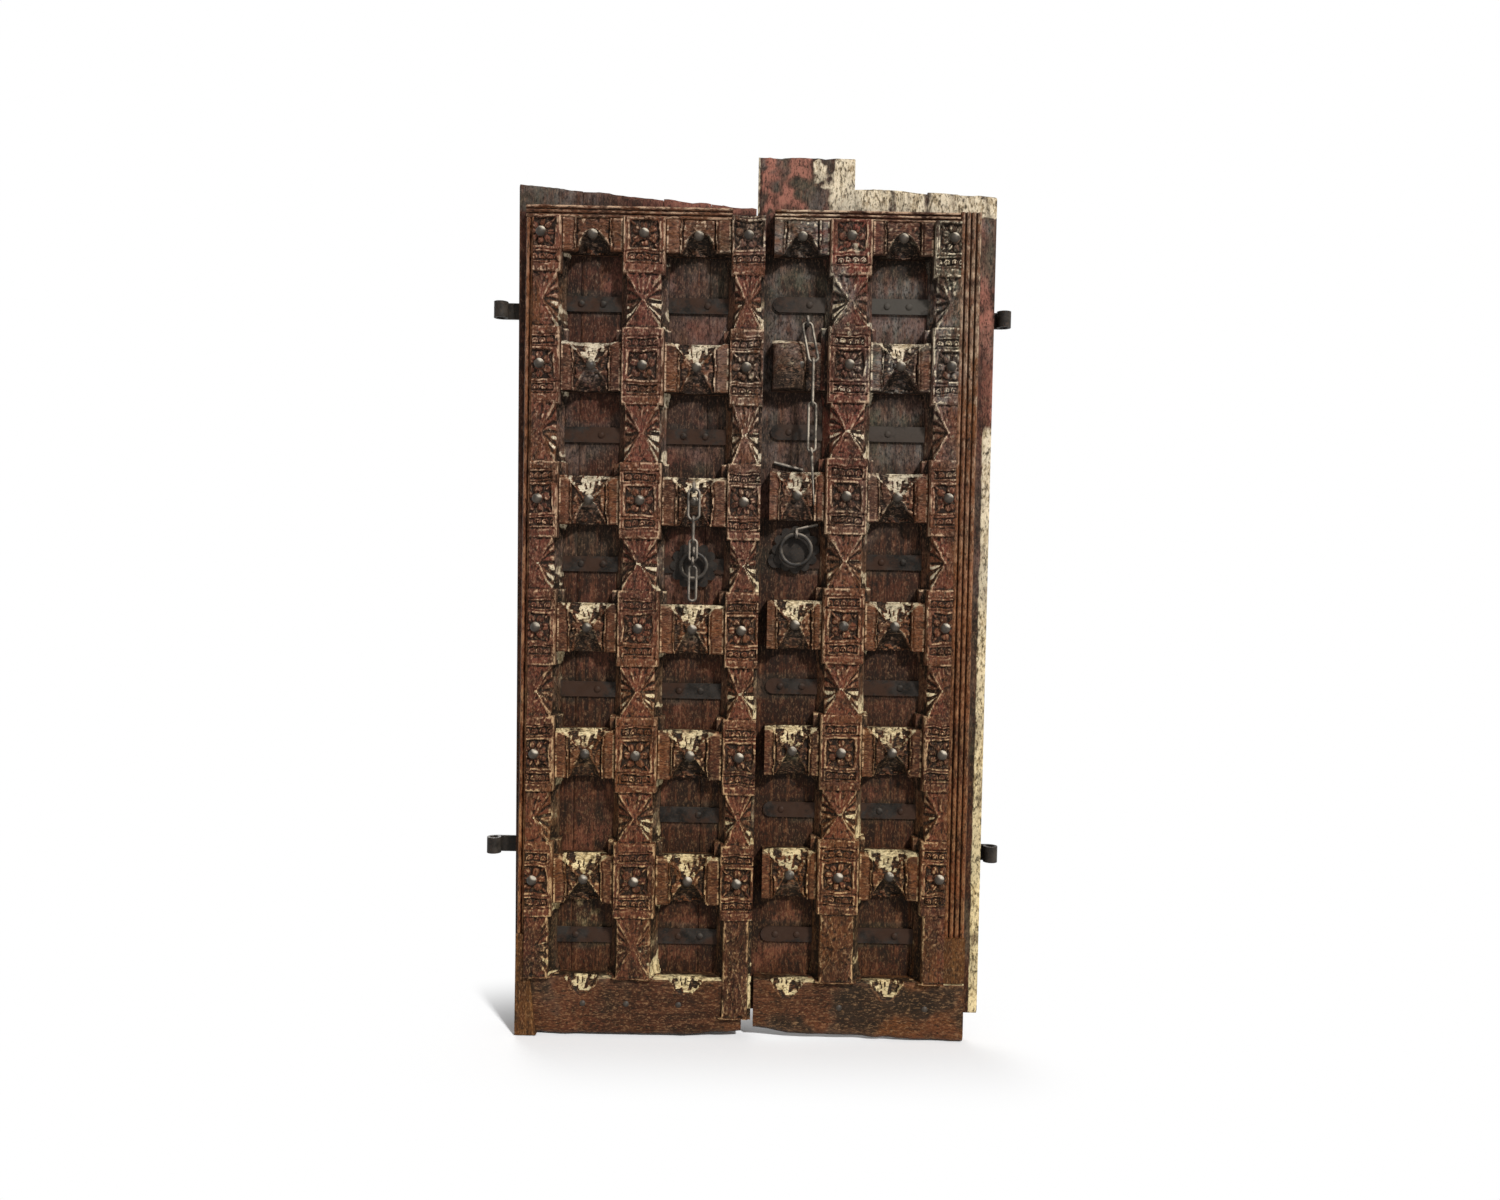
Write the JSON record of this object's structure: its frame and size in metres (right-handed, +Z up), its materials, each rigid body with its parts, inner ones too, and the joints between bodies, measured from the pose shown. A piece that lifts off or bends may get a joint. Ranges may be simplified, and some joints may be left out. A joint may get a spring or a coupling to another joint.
{
  "type": "wooden double door",
  "caption": "Antique double door of heavy planks with carved pilasters and rails, iron straps, studs, chains and pull rings, hung on open strap-hinge eyes.",
  "frame": {"origin": "middle of the width and depth, on the floor line", "axes": "+Z up, the carved front faces -Y, +X to the right as seen from the front"},
  "size_m": [1.164, 0.1239, 1.967],
  "materials": {
    "planks": "dark worn paint",
    "carving": "carved, worn",
    "red_carving": "worn red paint",
    "repair": "plain newer wood",
    "iron": "forged, dark"
  },
  "bodies": {
    "left_leaf": {"left_plank_1": "planks", "left_plank_2": "planks", "left_plank_3": "planks", "left_plank_4": "planks", "left_top_moulding": "carving", "left_side_moulding": "red_carving", "left_corner_repair": "repair", "left_side_pilaster": "carving", "left_middle_pilaster": "carving", "left_meeting_pilaster": "carving", "left_rail_1": "red_carving", "left_rail_2": "red_carving", "left_rail_3": "red_carving", "left_rail_4": "red_carving", "left_rail_5": "red_carving", "left_rail_6": "red_carving", "left_bottom_rail": "red_carving", "left_iron_straps": "iron", "left_studs": "iron", "left_hinge_top": "iron", "left_hinge_bottom": "iron", "left_chain_staple": "iron", "left_ring_plate": "iron", "left_ring_staple": "iron"},
    "right_leaf": {"right_plank_1": "planks", "right_plank_2": "planks", "right_plank_3": "planks", "right_top_moulding": "carving", "right_side_moulding": "red_carving", "right_corner_repair": "repair", "right_middle_pilaster": "carving", "right_side_pilaster": "carving", "right_rail_1": "red_carving", "right_rail_2": "red_carving", "right_rail_3": "red_carving", "right_rail_4": "red_carving", "right_rail_5": "red_carving", "right_rail_6": "red_carving", "right_bottom_rail": "red_carving", "right_iron_straps": "iron", "right_studs": "iron", "right_hinge_top": "iron", "right_hinge_bottom": "iron", "right_chain_staple": "iron", "right_ring_plate": "iron", "right_ring_staple": "iron", "right_iron_bar": "iron"},
    "left_link_1": {"left_link_1": "iron"},
    "left_link_2": {"left_link_2": "iron"},
    "left_link_3": {"left_link_3": "iron"},
    "left_tail_link": {"left_tail_link": "iron"},
    "left_ring": {"left_ring": "iron"},
    "right_link_1": {"right_link_1": "iron"},
    "right_link_2": {"right_link_2": "iron"},
    "right_link_3": {"right_link_3": "iron"},
    "right_chain_pin": {"right_chain_pin": "iron"},
    "right_ring": {"right_ring": "iron"}
  },
  "joints": [
    {"name": "right_leaf_swing", "type": "hinge", "parent": "left_leaf", "child": "right_leaf", "pos_m": [0.566, 0.0401, 1], "axis": [0, 0, -1], "range_deg": [0, 100]},
    {"name": "left_link_1_swing", "type": "hinge", "parent": "left_leaf", "child": "left_link_1", "pos_m": [-0.1205, -0.05, 1.22303], "axis": [-1, 0, 0], "range_deg": [0, 40]},
    {"name": "left_link_2_swing", "type": "hinge", "parent": "left_link_1", "child": "left_link_2", "pos_m": [-0.1205, -0.05, 1.15503], "axis": [-1, 0, 0], "range_deg": [0, 40]},
    {"name": "left_link_3_swing", "type": "hinge", "parent": "left_link_2", "child": "left_link_3", "pos_m": [-0.1205, -0.05, 1.11163], "axis": [-1, 0, 0], "range_deg": [0, 40]},
    {"name": "left_tail_swing", "type": "hinge", "parent": "left_link_3", "child": "left_tail_link", "pos_m": [-0.1205, -0.05, 1.06563], "axis": [-1, 0, 0], "range_deg": [0, 40]},
    {"name": "left_ring_lift", "type": "hinge", "parent": "left_leaf", "child": "left_ring", "pos_m": [-0.1205, -0.011, 1.08339], "axis": [-1, 0, 0], "range_deg": [0, 28]},
    {"name": "right_link_1_swing", "type": "hinge", "parent": "right_leaf", "child": "right_link_1", "pos_m": [0.12, -0.05, 1.58771], "axis": [-1, 0, 0], "range_deg": [0, 40]},
    {"name": "right_link_2_swing", "type": "hinge", "parent": "right_link_1", "child": "right_link_2", "pos_m": [0.13372, -0.05, 1.50316], "axis": [-1, 0, 0], "range_deg": [0, 40]},
    {"name": "right_link_3_swing", "type": "hinge", "parent": "right_link_2", "child": "right_link_3", "pos_m": [0.13372, -0.05, 1.41476], "axis": [-1, 0, 0], "range_deg": [0, 40]},
    {"name": "right_pin_swing", "type": "hinge", "parent": "right_link_3", "child": "right_chain_pin", "pos_m": [0.13372, -0.05, 1.30876], "axis": [-1, 0, 0], "range_deg": [0, 40]},
    {"name": "right_ring_lift", "type": "hinge", "parent": "right_leaf", "child": "right_ring", "pos_m": [0.106, -0.011, 1.12872], "axis": [-1, 0, 0], "range_deg": [0, 100]}
  ]
}
